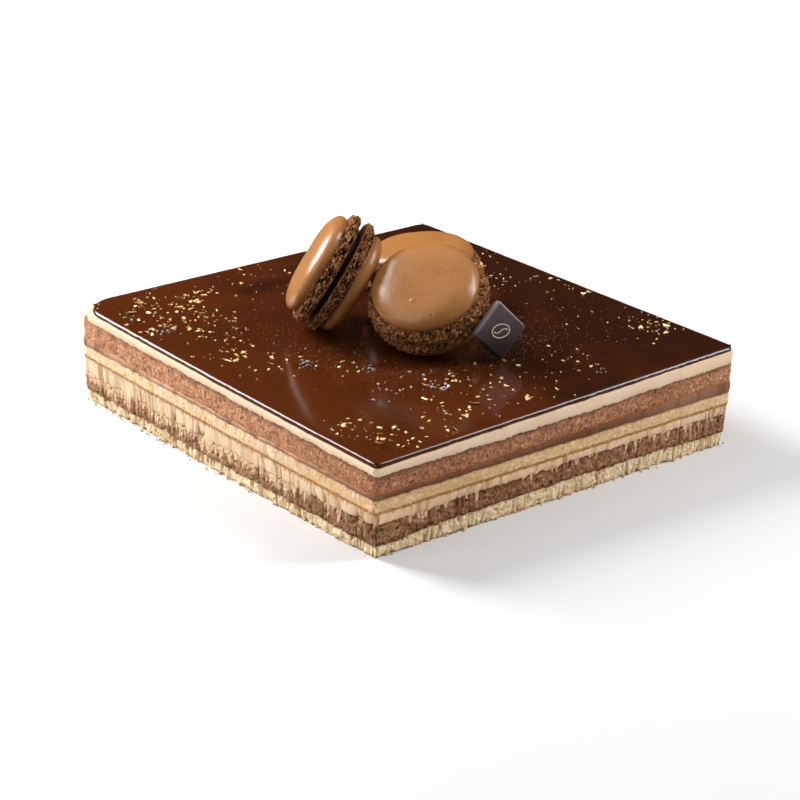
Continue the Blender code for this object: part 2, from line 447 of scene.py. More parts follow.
@dataclass(frozen=True)
class PlainFinish:
    """A finish of two close colours, for the filling, the print and the scattered toppings."""

    name: str
    body: Colour
    other: Colour
    size: float
    roughness: float
    metallic: float = 0.0
    depth: float = 0.05
    gloss: float = 0.5

    def material(self) -> bpy.types.Material:
        """The node material."""
        paint = Paint(self.name)
        mottle = paint.grain(self.size, 3.0)
        colour = paint.blend(mottle.between(0.38, 0.64), self.body, self.other)
        rough = mottle * 0.12 + (self.roughness - 0.06)
        normal = paint.relief(mottle, self.depth, 0.7)
        return paint.surface(
            Base_Color=colour,
            Roughness=rough,
            Normal=normal,
            Metallic=self.metallic,
            Specular_IOR_Level=self.gloss,
        )


class Slot(Enum):
    """Material slots of the record."""

    PLAIN_SPONGE = "plain_sponge"
    COCOA_SPONGE = "cocoa_sponge"
    COFFEE_CREAM = "coffee_cream"
    GANACHE = "ganache"
    GLAZE = "glaze"
    SHELL = "macaron_shell"
    FILLING = "macaron_filling"
    CHOCOLATE = "chocolate"


BASE_SPONGE = SpongeFinish(
    "base sponge",
    crumb=(0.93, 0.66, 0.37),
    light=(1.0, 0.86, 0.60),
    pore=(0.50, 0.25, 0.10),
    top_edge=(0.68, 0.42, 0.22),
    low_edge=(0.62, 0.35, 0.15),
    top_reach=0.10,
    low_reach=0.16,
    streak=(0.38, 0.19, 0.09),
    streak_share=0.42,
    pore_size=1.5,
    lumpy=0.1,
)
LOWER_COCOA = SpongeFinish(
    "lower cocoa sponge",
    crumb=(0.30, 0.120, 0.048),
    light=(0.58, 0.285, 0.138),
    pore=(0.045, 0.014, 0.005),
    top_edge=(0.10, 0.040, 0.020),
    low_edge=(0.13, 0.050, 0.024),
    top_reach=0.22,
    low_reach=0.2,
    streak=(0.78, 0.53, 0.33),
    streak_share=0.62,
    pore_size=1.3,
    veil=0.3,
    lumpy=0.4,
)
ALMOND = SpongeFinish(
    "almond sponge",
    crumb=(0.70, 0.425, 0.190),
    light=(0.90, 0.64, 0.37),
    pore=(0.50, 0.27, 0.10),
    top_edge=(0.42, 0.25, 0.15),
    low_edge=(0.40, 0.155, 0.026),
    top_reach=0.2,
    low_reach=0.08,
    streak=(0.86, 0.69, 0.49),
    streak_share=0.25,
    pore_size=0.9,
    veil=0.6,
    lumpy=0.15,
    syrup=0.19,
)
UPPER_COCOA = SpongeFinish(
    "upper cocoa sponge",
    crumb=(0.35, 0.130, 0.056),
    light=(0.73, 0.355, 0.185),
    pore=(0.070, 0.022, 0.007),
    top_edge=(0.15, 0.062, 0.036),
    low_edge=(0.38, 0.145, 0.042),
    top_reach=0.34,
    low_reach=0.26,
    streak=(0.74, 0.40, 0.22),
    streak_share=-0.2,
    pore_size=0.9,
    veil=0.45,
    lumpy=0.3,
)
LOWER_CREAM = CreamFinish(
    "lower coffee cream",
    body=(0.86, 0.60, 0.375),
    shade=(0.76, 0.48, 0.265),
    streak=(0.38, 0.18, 0.065),
    streak_share=0.75,
    roughness=0.5,
    soak=0.6,
    veil=0.6,
    veil_tint=(0.84, 0.66, 0.47),
)
UPPER_CREAM = CreamFinish(
    "upper coffee cream",
    body=(0.85, 0.625, 0.44),
    shade=(0.80, 0.56, 0.37),
    streak=(0.66, 0.44, 0.27),
    streak_share=0.12,
    roughness=0.45,
)
GANACHE = CreamFinish(
    "ganache",
    body=(0.165, 0.056, 0.022),
    shade=(0.215, 0.082, 0.040),
    streak=(0.36, 0.17, 0.10),
    streak_share=0.2,
    roughness=0.55,
    grit=0.2,
    veil=0.75,
    veil_tint=(0.64, 0.36, 0.24),
)
GLAZE = GlazeFinish(
    # The second colour is that of the darker clouds and of the painted shade towards +X.
    "mirror glaze", body=(0.068, 0.0145, 0.0028), deep=(0.026, 0.0062, 0.0024), side=(0.085, 0.022, 0.007)
)
SHELL = ShellFinish(
    "macaron",
    cap=(0.345, 0.140, 0.038),
    cap_light=(0.46, 0.215, 0.075),
    cap_rim=(0.27, 0.102, 0.024),
    strand=(0.135, 0.046, 0.012),
    strand_light=(0.50, 0.205, 0.058),
    # Painted shade in holes and burst bubbles.
    hole=(0.016, 0.005, 0.002),
)
# Near black: dark chocolate, darkened further with painted shade for the recessed slot between the shells.
FILLING = PlainFinish("macaron filling", (0.014, 0.006, 0.004), (0.026, 0.011, 0.006), 2.0, 0.6, gloss=0.2)
CHOCOLATE = PaintedLightChocolateFinish(
    "chocolate square",
    # Painted shade at the lower corner and painted light at the upper one.
    low=(0.016, 0.007, 0.007),
    high=(0.105, 0.072, 0.080),
    # Painted highlight on the upper bevels.
    edge_highlight=(0.34, 0.26, 0.28),
    roughness=0.3,
)
PRINT = PlainFinish("cream print", (0.80, 0.66, 0.46), (0.74, 0.58, 0.38), 0.6, 0.5, depth=0.01)
GOLD = PlainFinish("gold leaf", (1.0, 0.66, 0.22), (1.0, 0.84, 0.46), 0.7, 0.35, metallic=0.35, depth=0.12)
SUGAR = PlainFinish(
    "sugar crystal", (0.30, 0.27, 0.29), (0.55, 0.52, 0.55), 0.5, 0.3, depth=0.08, gloss=0.8
)
DUST = PlainFinish("pale dust", (0.28, 0.21, 0.18), (0.50, 0.40, 0.35), 0.4, 0.8)
CRUMBS = PlainFinish("loose crumbs", (0.50, 0.30, 0.14), (0.78, 0.56, 0.34), 0.8, 0.9, depth=0.2)


# ---------------------------------------------------------------------------------------------------
# Bench: from a bmesh to a piece of the cake
# ---------------------------------------------------------------------------------------------------


class Bench:
    """Turns bmeshes into pieces that ride on the cake, and keeps one material for each finish."""

    def __init__(self) -> None:
        """Starts with no materials made."""
        self.materials: dict[str, bpy.types.Material] = {}

    def dress(self, finish: Any) -> bpy.types.Material:
        """The material of a finish, made once."""
        if finish.name not in self.materials:
            self.materials[finish.name] = finish.material()
        return self.materials[finish.name]

    def piece(
        self,
        bm: bmesh.types.BMesh,
        name: str,
        finish: Any,
        slot: Slot,
        nodes: Sequence[str] = (),
        sharp: float = 50.0,
    ) -> bpy.types.Object:
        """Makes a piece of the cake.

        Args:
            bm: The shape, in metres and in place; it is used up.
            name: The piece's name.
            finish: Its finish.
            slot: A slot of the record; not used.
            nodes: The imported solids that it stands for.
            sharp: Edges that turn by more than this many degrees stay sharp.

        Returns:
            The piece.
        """
        mesh = bpy.data.meshes.new(name)
        bm.to_mesh(mesh)
        bm.free()
        mesh.materials.append(self.dress(finish))
        mesh.shade_smooth()
        mesh.set_sharp_from_angle(angle=math.radians(sharp))
        piece = bpy.data.objects.new(name, mesh)
        bpy.context.scene.collection.objects.link(piece)
        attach(piece, BODY)
        if nodes:
            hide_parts(*nodes)
        LOG.info("%s: %d faces", name, len(mesh.polygons))
        return piece


# ---------------------------------------------------------------------------------------------------
# The block of layers
# ---------------------------------------------------------------------------------------------------


@dataclass(frozen=True)
class Level:
    """Height of a boundary between layers, in mm: at the corners, its dips, and its raggedness."""

    front: float
    right: float
    left: float
    back: float
    right_dip: float = 0.0
    left_dip: float = 0.0
    ragged: float = 0.0
    ragged_size: float = 2.0
    tongues: float = 0.0  # how far dragged cream hangs down in tongues

    def flat(self, x: float, y: float, half: Vector) -> float:
        """Height of the even surface at a place."""
        u = x / half.x
        v = y / half.y
        near = self.front * (1 - u) + self.right * (1 + u)
        far = self.left * (1 - u) + self.back * (1 + u)
        right_dip = self.right_dip * (1 - u * u) * (1 - v) / 2
        left_dip = self.left_dip * (1 - v * v) * (1 - u) / 2
        return (near * (1 - v) + far * (1 + v)) / 4 - right_dip - left_dip

    def rim(self, x: float, y: float, half: Vector, seed: float) -> float:
        """Height at the outline, with the wander that the sides show."""
        swell = wander(x, y, 0, 9.0, seed) * 1.2 + wander(x, y, 0, self.ragged_size, seed + 1)
        height = self.flat(x, y, half) + self.ragged * (swell + 0.5 * wander(x, y, 0, 0.8, seed + 2))
        if self.tongues:
            hang = max(0.0, wander(x, y, 0, 2.8, seed + 3) + 0.2)
            hang += 0.4 * max(0.0, wander(x, y, 0, 1.1, seed + 5))
            hang *= mix(0.6, 1.5, smooth_step(1.5, 0.0, x + half.x))
            height -= self.tongues * hang * smooth_step(-0.3, 0.3, wander(x, y, 0, 16.0, seed + 4))
        return height


@dataclass(frozen=True)
class Corners:
    """Radius of each upright corner, in mm."""

    front: float
    right: float
    left: float
    back: float

    def radius(self, x: float, y: float) -> float:
        """Radius of the corner nearest to a place."""
        if y < 0:
            return self.front if x < 0 else self.right
        return self.left if x < 0 else self.back


@dataclass(frozen=True)
class Crumb:
    """Relief of a layer's trimmed sides, in mm."""

    rough: float = 0.0
    rough_size: float = 1.2
    pit: float = 0.0
    pit_size: float = 1.4
    pit_share: float = 0.0  # from 0 for no pits to 1 for pits all over
    drag: float = 0.0  # how much of the knife's drag it takes


@dataclass(frozen=True)
class Layer:
    """One layer of the block."""

    node: str
    top: Level
    crumb: Crumb
    finish: Any
    slot: Slot
    inset: float = 0.6  # how far its sides stay inside the block's outline, in mm
    bulge: float = 0.1  # how far they bulge at half height
    corners: Corners = Corners(2, 2.5, 4.5, 3)


FOOT_LEVEL = Level(0, 0, 0, 0)


@dataclass
class CakeBlock:
    """The trimmed block: its layers share the boundaries between them, so no gap shows."""

    bench: Bench
    cell: float = 3.75  # the hidden inside is coarse
    step: float = 0.36  # the sides are fine
    drag_left: float = 1.1  # depth of the knife's drag on the -X face
    drag_right: float = 0.55  # and on the others
    drag_top: float = 17.5  # it fades out at this height
    glaze_round: float = 1.5  # radius of the glaze's upper edge
    glaze_lip: float = 2.2  # width of the finer border of its top

    def __post_init__(self) -> None:
        """Takes the outline's size from the widest layer."""
        low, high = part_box("ganache")
        self.half = Vector(((high.x - low.x) / 2, (high.y - low.y) / 2)) / MM
        self.layers = self.recipe()

    def recipe(self) -> tuple[Layer, ...]:
        """The layers, from the foot up."""
        cocoa = Crumb(rough=0.24, rough_size=1.1, pit=0.8, pit_size=1.7, pit_share=0.5, drag=0.9)
        return (
            Layer(
                "base_sponge",
                Level(4.6, 5.6, 5.0, 5.8, -1.6, 0.4, ragged=0.55, ragged_size=2.4, tongues=-0.8),
                Crumb(rough=0.36, rough_size=1.3, pit=0.9, pit_size=1.8, pit_share=0.25, drag=1.3),
                BASE_SPONGE,
                Slot.PLAIN_SPONGE,
                inset=0.8,
                bulge=0.2,
                corners=Corners(3, 3, 6, 4),
            ),
            Layer(
                "cocoa_sponge_lower",
                Level(12.4, 13.6, 12.4, 13.6, -1.1, 1.0, ragged=0.22, tongues=2.2),
                cocoa,
                LOWER_COCOA,
                Slot.COCOA_SPONGE,
            ),
            Layer(
                "coffee_cream_lower",
                Level(16.6, 17.4, 18.8, 19.0, 0, 0.6, ragged=0.2),
                Crumb(rough=0.05, drag=1.0),
                LOWER_CREAM,
                Slot.COFFEE_CREAM,
                bulge=0.2,
            ),
            Layer(
                "almond_sponge",
                Level(21.9, 22.6, 23.6, 24.4, ragged=0.3, ragged_size=3.0),
                Crumb(rough=0.10, rough_size=1.0, pit=0.35, pit_size=1.3, pit_share=0.2, drag=0.35),
                ALMOND,
                Slot.PLAIN_SPONGE,
                inset=0.4,
            ),
            Layer(
                "ganache",
                Level(23.8, 27.2, 26.8, 29.6, 0.5, 1.2, ragged=0.34),
                Crumb(rough=0.05, drag=0.15),
                GANACHE,
                Slot.GANACHE,
                inset=0.3,
                bulge=0.3,
            ),
            Layer(
                "cocoa_sponge_upper",
                Level(30.9, 35.0, 34.6, 37.8, 1.1, 0.3, ragged=0.5, ragged_size=1.5),
                Crumb(rough=0.16, rough_size=1.0, pit=0.5, pit_size=1.3, pit_share=0.4, drag=0.1),
                UPPER_COCOA,
                Slot.COCOA_SPONGE,
                inset=0.5,
            ),
            Layer(
                "coffee_cream_upper",
                Level(33.8, 39.9, 38.4, 42.9, 0.1, 0.6, ragged=0.12, ragged_size=3.0),
                Crumb(rough=0.04, drag=0.05),
                UPPER_CREAM,
                Slot.COFFEE_CREAM,
                inset=0.3,
                bulge=0.3,
                corners=Corners(2, 3, 9, 4),
            ),
            Layer(
                "glaze",
                Level(35.4, 41.5, 40.0, 44.5, 0.1, 0.6),
                Crumb(),
                GLAZE,
                Slot.GLAZE,
                inset=0.35,
                bulge=0.0,
                corners=Corners(2.5, 4, 14, 5),
            ),
        )

    def top(self, x: float, y: float) -> float:
        """Height of the glaze's surface at a place, in mm."""
        return self.layers[-1].top.flat(x, y, self.half)

    def outline(self, u: float, v: float, corners: Corners) -> tuple[Vector, Vector]:
        """Finds a place on the block from its place on the unit square.

        Args:
            u: From -1 to 1 across the block.
            v: From -1 to 1 along it.
            corners: Radii of the layer's corners.

        Returns:
            The place in mm, and the way out of the block there.
        """
        x = u * self.half.x
        y = v * self.half.y
        out = Vector((math.copysign(1, u), 0)) if abs(u) >= abs(v) else Vector((0, math.copysign(1, v)))
        radius = corners.radius(x, y)
        a = (abs(x) - self.half.x + radius) / radius
        b = (abs(y) - self.half.y + radius) / radius
        if min(a, b) > 0:
            hub = Vector((math.copysign(self.half.x - radius, x), math.copysign(self.half.y - radius, y)))
            across = math.copysign(radius * a * math.sqrt(1 - b * b / 2), x)
            along = math.copysign(radius * b * math.sqrt(1 - a * a / 2), y)
            return hub + Vector((across, along)), Vector((across, along)).normalized()
        return Vector((x, y)), out

    def smear(self, x: float, y: float) -> float:
        """How much the knife smeared the layers over each other at a place on the sides."""
        left = smooth_step(2.0, 0.0, x + self.half.x)
        patch = 0.25 * wander(x, y, 0, 22.0, 6.0)
        along_left = 0.25 + 0.6 * smooth_step(-85, -45, y) + patch
        return mix(0.02 + 0.3 * smooth_step(25, 60, x) + 0.5 * patch, along_left, left)

    def knife(self, x: float, y: float, z: float) -> tuple[float, float]:
        """Works out the knife's drag at a place on the sides.

        Args:
            x: Place along X, in mm.
            y: Place along Y, in mm.
            z: Height, in mm.

        Returns:
            How deep it cuts in, in mm, and how far into a cleft the place is.
        """
        left = smooth_step(1.5, 0.0, x + self.half.x)
        near_corner = 0.6 + 0.6 * smooth_step(10, 60, y) + 0.6 * smooth_step(-72, -88, y)
        depth = mix(self.drag_right * (0.6 + smooth_step(-20, 60, x)), self.drag_left * near_corner, left)
        reach = smooth_step(self.drag_top + 2, self.drag_top - 6, z)
        depth *= reach * (1 + 0.7 * smooth_step(7, 4, z))
        slack = wander(x, y, z * 0.10, 2.4, 3.0)
        cleft = smooth_step(0.15, 0.0, abs(slack))
        cleft *= smooth_step(-0.25, 0.25, wander(x, y, z * 0.2, 7.0, 5.0))
        swell = 0.5 + 0.5 * wander(x, y, z * 0.15, 3.6, 4.0)
        return depth * (1.3 * cleft + 0.8 * swell), cleft * reach

    def side_offset(
        self, layer: Layer, x: float, y: float, z: float, share: float
    ) -> tuple[float, float, float]:
        """Relief of a layer's side.

        Args:
            layer: The layer.
            x: Place along X, in mm.
            y: Place along Y, in mm.
            z: Height, in mm.
            share: Height within the layer, from 0 to 1.

        Returns:
            How far the side stands out from the block's outline, how deep in a pit the place is, and how
            far into a cleft.
        """
        crumb = layer.crumb
        offset = layer.bulge * 4 * share * (1 - share) - layer.inset
        pit = cleft = 0.0
        if crumb.rough:
            coarse = wander(x, y, z, crumb.rough_size * 2.4, 8.0)
            offset += crumb.rough * (coarse + wander(x, y, z, crumb.rough_size, 9.0))
            offset += 0.5 * crumb.rough * wander(x, y, z, crumb.rough_size * 0.5, 10.0)
        if crumb.pit_share:
            where = wander(x, y, z, 3.0, 11.0) * 0.5 + 0.5
            if where < crumb.pit_share + 0.25:
                pit = smooth_step(0.35, 0.75, cell_gap(x, y, z, crumb.pit_size))
                pit *= smooth_step(crumb.pit_share + 0.25, crumb.pit_share, where)
                offset -= crumb.pit * pit
        if crumb.drag and z < self.drag_top + 2:
            depth, cleft = self.knife(x, y, z)
            offset -= crumb.drag * depth
            cleft *= min(crumb.drag, 1)
        return offset, pit, cleft

    def slab(self, rows: int) -> bmesh.types.BMesh:
        """A unit slab: coarse inside, fine round its outline, and rows faces high at its sides."""
        bm = bmesh.new()
        bmesh.ops.create_grid(
            bm,
            x_segments=round(2 * self.half.x / self.cell),
            y_segments=round(2 * self.half.y / self.cell),
            size=1,
        )
        rim = [edge for edge in bm.edges if edge.is_boundary]
        bmesh.ops.subdivide_edges(bm, edges=rim, cuts=round(self.cell / self.step) - 1)
        raised = bmesh.ops.extrude_face_region(bm, geom=bm.faces[:])["geom"]
        raised = [item for item in raised if isinstance(item, bmesh.types.BMVert)]
        bmesh.ops.translate(bm, verts=raised, vec=(0, 0, 1))
        upright = [edge for edge in bm.edges if edge.verts[0].co.z != edge.verts[1].co.z]
        bmesh.ops.subdivide_edges(bm, edges=upright, cuts=rows - 1)
        return bm

    def build_layer(self, number: int) -> bpy.types.Object:
        """Models one layer, counted from the foot."""
        layer = self.layers[number]
        below = self.layers[number - 1].top if number else FOOT_LEVEL
        glazed = number == len(self.layers) - 1
        thickness = (layer.top.front + layer.top.back - below.front - below.back) / 2
        rows = max(10, round(thickness / self.step))
        bm = self.slab(rows)
        if glazed:
            top = [face for face in bm.faces if face.calc_center_median().z > 0.9999]
            lip = self.glaze_lip / self.half.x
            bmesh.ops.inset_region(bm, faces=top, thickness=lip, use_even_offset=True)
        share_of = bm.verts.layers.float.new("share")
        pit_of = bm.verts.layers.float.new("pit")
        cleft_of = bm.verts.layers.float.new("cleft")
        smear_of = bm.verts.layers.float.new("smear")
        rims: dict[tuple[float, float], tuple[float, float, float]] = {}
        for vert in bm.verts:
            u, v, share = vert.co
            place, out = self.outline(u, v, layer.corners)
            x, y = u * self.half.x, v * self.half.y
            if max(abs(u), abs(v)) < 0.9999:
                low = below.flat(x, y, self.half)
                high = layer.top.flat(x, y, self.half)
                vert.co = Vector((place.x, place.y, mix(low, high, share))) * MM
                vert[share_of] = share
                continue
            key = (round(u, 5), round(v, 5))
            if key not in rims:
                low = below.rim(x, y, self.half, number) if number else 0.0
                rims[key] = (low, layer.top.rim(x, y, self.half, number + 1), self.smear(x, y))
            low, high, smear = rims[key]
            z = mix(low, high, share)
            offset, pit, cleft = self.side_offset(layer, x, y, z, share)
            if glazed:
                offset, z = self.glaze_edge(x, y, z, share, high - low, offset)
            if not number:
                offset, z = self.ragged_foot(x, y, z, share, offset)
            vert.co = Vector((place.x + out.x * offset, place.y + out.y * offset, z)) * MM
            vert[share_of] = share
            vert[pit_of] = pit
            vert[cleft_of] = cleft
            vert[smear_of] = smear
        bmesh.ops.recalc_face_normals(bm, faces=bm.faces)
        return self.bench.piece(bm, f"{layer.node}_slab", layer.finish, layer.slot, [layer.node], 60)

    def glaze_edge(
        self, x: float, y: float, z: float, share: float, thickness: float, offset: float
    ) -> tuple[float, float]:
        """Rounds the glaze's upper edge, and lets its lower one run a little over the cream."""
        wave = 0.16 * wander(x, y, 0, 9.0, 21.0) + 0.05 * wander(x, y, 0, 2.5, 22.0)
        depth = min((1 - share) * thickness, self.glaze_round)
        rounding = self.glaze_round - math.sqrt(self.glaze_round**2 - (self.glaze_round - depth) ** 2)
        drip = 0.25 * (1 - share) * (0.5 + wander(x, y, 0, 3.2, 23.0))
        return offset + wave - rounding, z - drip

    def ragged_foot(self, x: float, y: float, z: float, share: float, offset: float) -> tuple[float, float]:
        """Crumbles the base sponge's lower edge in and out, and lifts it off the table in places."""
        low = smooth_step(0.6, 0.0, share)
        crumble = 0.45 * wander(x, y, z, 2.6, 31.0) + 0.35 * wander(x, y, z, 1.1, 32.0)
        lift = max(0.0, wander(x, y, 0, 1.9, 33.0) + 0.15) * 0.8
        return offset + low * (crumble - 0.25), z + lift * smooth_step(0.3, 0.0, share)

    def build(self) -> None:
        """Models every layer."""
        for number in range(len(self.layers)):
            self.build_layer(number)


# ---------------------------------------------------------------------------------------------------
# Macarons
# ---------------------------------------------------------------------------------------------------


@dataclass(frozen=True)
class Mark:
    """A blister or a burst bubble on a cap, placed from the cap's middle, in mm."""

    x: float
    y: float
    radius: float
    height: float  # below 0 for a burst bubble

    def shape(self, x: float, y: float) -> tuple[float, float]:
        """How far it lifts a place on the cap, and how dark it makes it with painted shade, which only a
        burst bubble does.
        """
        near = smooth_step(self.radius, 0.15 * self.radius, math.hypot(x - self.x, y - self.y))
        return self.height * near, near * (self.height < 0)


@dataclass
class Macaron:
    """A sandwich of two baked shells. Sizes are in mm and directions in degrees."""

    bench: Bench
    name: str
    heading: float  # the way its upper cap faces, from +X towards +Y
    rise: float  # how far the cap's face is above level
    seed: int
    cap_radius: float = 20.6
    foot_radius: float = 23.0
    foot_height: float = 4.9
    cap_height: float = 6.6
    slot: float = 1.2
    filling_inset: float = 3.0
    steps: int = 340
    ruffle: float = 1.3
    hole: float = 2.2
    hole_size: float = 1.6
    recess: float = 0.4  # how much further in the filling stays
    marks: tuple[Mark, ...] = ()

    def placement(self) -> Matrix:
        """From the macaron's own axes, with +Z out of its upper cap, to the cake's."""
        low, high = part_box(f"{self.name}_filling")
        tilt = Matrix.Rotation(math.radians(90 - self.rise), 4, "Y")
        turn = Matrix.Rotation(math.radians(self.heading), 4, "Z") @ tilt
        return Matrix.Translation((low + high) / 2) @ turn

    def profile(self) -> list[tuple[float, float]]:
        """A shell's outline from the middle of its flat side to the top of its cap."""
        foot, cap, height = self.foot_radius, self.cap_radius, self.foot_height
        underside = [(radius, 0.0) for radius in (0, 6, 12, 17, foot - 3, foot - 1.6)]
        bends = [
            (foot - 0.9, 0.0),
            (foot - 0.2, 0.45),
            (foot, height * 0.28),
            (foot - 0.35, height * 0.55),
            (foot - 1.1, height * 0.78),
            (cap - 0.6, height * 0.93),
            (cap - 0.45, height),
        ]
        wall = []
        for (r0, z0), (r1, z1) in zip(bends, bends[1:]):
            count = max(2, round(math.hypot(r1 - r0, z1 - z0) / 0.24))
            wall += [(mix(r0, r1, k / count), mix(z0, z1, k / count)) for k in range(count)]
        dome = []
        for k in range(41):
            angle = math.radians(90) * (k / 40) ** 0.8
            swell = 0.22 + 0.78 * math.sin(angle)
            radius = cap * math.cos(angle) ** 0.56 if k < 40 else 0.0
            dome.append((radius, height + self.cap_height * swell))
        return underside + wall + [(cap - 0.25, height + 0.25), (cap - 0.08, height + 0.8)] + dome

    def turned(self) -> bmesh.types.BMesh:
        """A plain shell, turned from its outline."""
        bm = bmesh.new()
        verts = [bm.verts.new((radius * MM, 0, height * MM)) for radius, height in self.profile()]
        edges = [bm.edges.new(pair) for pair in zip(verts, verts[1:])]
        bmesh.ops.spin(
            bm,
            geom=verts + edges,
            cent=(0, 0, 0),
            axis=(0, 0, 1),
            angle=math.tau,
            steps=self.steps,
            use_merge=True,
            use_duplicate=False,
        )
        bmesh.ops.remove_doubles(bm, verts=bm.verts, dist=1e-6)
        bmesh.ops.recalc_face_normals(bm, faces=bm.faces)
        return bm

    def shape_foot(self, x: float, y: float, z: float, seed: float) -> tuple[float, float, float]:
        """Relief of the foot.

        Args:
            x: Place along X, in mm.
            y: Place along Y, in mm.
            z: Height above the flat side, in mm.
            seed: Makes each shell different.

        Returns:
            How far the surface moves out and up, and how deep in a hole it is.
        """
        shift = seed * 11.0
        wx = x + 0.8 * wander(x, y, z, 1.3, seed + 6)
        wy = y + 0.8 * wander(x, y, z, 1.3, seed + 7)
        out = self.ruffle * (wander(x, y, z * 0.5, 2.8, seed) + 0.7 * wander(x, y, z, 1.2, seed + 1))
        out += 0.6 * self.ruffle * (0.4 - abs(wander(x, y, z, 0.9, seed + 5)) * 2)
        rise = 0.4 * wander(x, y, z, 2.0, seed + 2)
        reach = smooth_step(0.1, 0.8, z) * smooth_step(self.foot_height + 0.2, self.foot_height - 0.5, z)
        small = smooth_step(0.10, 0.42, cell_gap(wx + shift, wy, z * 1.1, self.hole_size))
        big = smooth_step(0.32, 0.60, cell_gap(wx, wy + shift, z * 0.8, self.hole_size * 2.1))
        open_share = smooth_step(-0.35, 0.3, wander(x, y, z, 2.6, seed + 3))
        hole = max(small * (0.25 + 0.75 * open_share), big * open_share) * reach
        return out - self.hole * hole, rise, hole

    def build_shell(self, side: str) -> bpy.types.Object:
        """Models the top or the bottom shell."""
        seed = self.seed * 2 + (side == "bottom")
        bm = self.turned()
        foot_of = bm.verts.layers.float.new("foot")
        pit_of = bm.verts.layers.float.new("pit")
        rim_of = bm.verts.layers.float.new("rim")
        for vert in bm.verts:
            x, y, z = vert.co / MM
            radius = math.hypot(x, y)
            out, rise, hole = 0.0, 0.0, 0.0
            if z < self.foot_height + 0.05:
                if radius > self.foot_radius - 2.6:
                    out, rise, hole = self.shape_foot(x, y, z, seed)
                    rise *= smooth_step(0.0, 0.6, z)
                vert[foot_of] = 1.0
            else:
                edge = smooth_step(self.cap_radius - 7, self.cap_radius, radius)
                out = (0.45 * wander(x, y, 0, 16.0, seed) + 0.12 * wander(x, y, z, 4.0, seed)) * edge
                rise = 0.35 * wander(x, y, 0, 13.0, seed + 4) + 0.06 * wander(x, y, 0, 4.0, seed + 5)
                if side == "top":
                    for mark in self.marks:
                        lift, dark = mark.shape(x, y)
                        # A burst bubble gets painted shade.
                        rise, hole = rise + lift, max(hole, 0.7 * dark)
                vert[rim_of] = smooth_step(self.foot_height + 2.8, self.foot_height, z)
            if radius > 0:
                x, y = x * (1 + out / radius), y * (1 + out / radius)
            vert.co = Vector((x, y, z + rise + self.slot)) * MM
            vert[pit_of] = hole
        turn_over = Matrix.Rotation(math.pi * (side == "bottom"), 4, "X")
        bm.transform(self.placement() @ turn_over)
        name = f"{self.name}_{side}"
        return self.bench.piece(bm, f"{name}_shell", SHELL, Slot.SHELL, [name], 75)

    def build_filling(self) -> bpy.types.Object:
        """Models the filling, which shows as a dark line between the shells; its near-black colour is
        partly painted shade.
        """
        bm = bmesh.new()
        radius = (self.foot_radius - self.filling_inset - self.recess) * MM
        depth = 2 * self.slot * MM
        bmesh.ops.create_cone(
            bm, cap_ends=True, segments=180, radius1=radius, radius2=radius, depth=depth
        )
        upright = [edge for edge in bm.edges if abs(edge.verts[0].co.z - edge.verts[1].co.z) > MM]
        bmesh.ops.subdivide_edges(bm, edges=upright, cuts=5)
        for vert in bm.verts:
            x, y, z = vert.co / MM
            out = 0.5 * wander(x, y, z, 2.6, self.seed + 40) + 0.6 * (1 - (z / self.slot) ** 2)
            vert.co.xy *= 1 + out / math.hypot(x, y)
        bmesh.ops.recalc_face_normals(bm, faces=bm.faces)
        bm.transform(self.placement())
        name = f"{self.name}_filling"
        return self.bench.piece(bm, f"{name}_disc", FILLING, Slot.FILLING, [name])

    def build(self) -> None:
        """Models both shells and the filling."""
        self.build_shell("top")
        self.build_shell("bottom")
        self.build_filling()


# ---------------------------------------------------------------------------------------------------
# The chocolate square
# ---------------------------------------------------------------------------------------------------


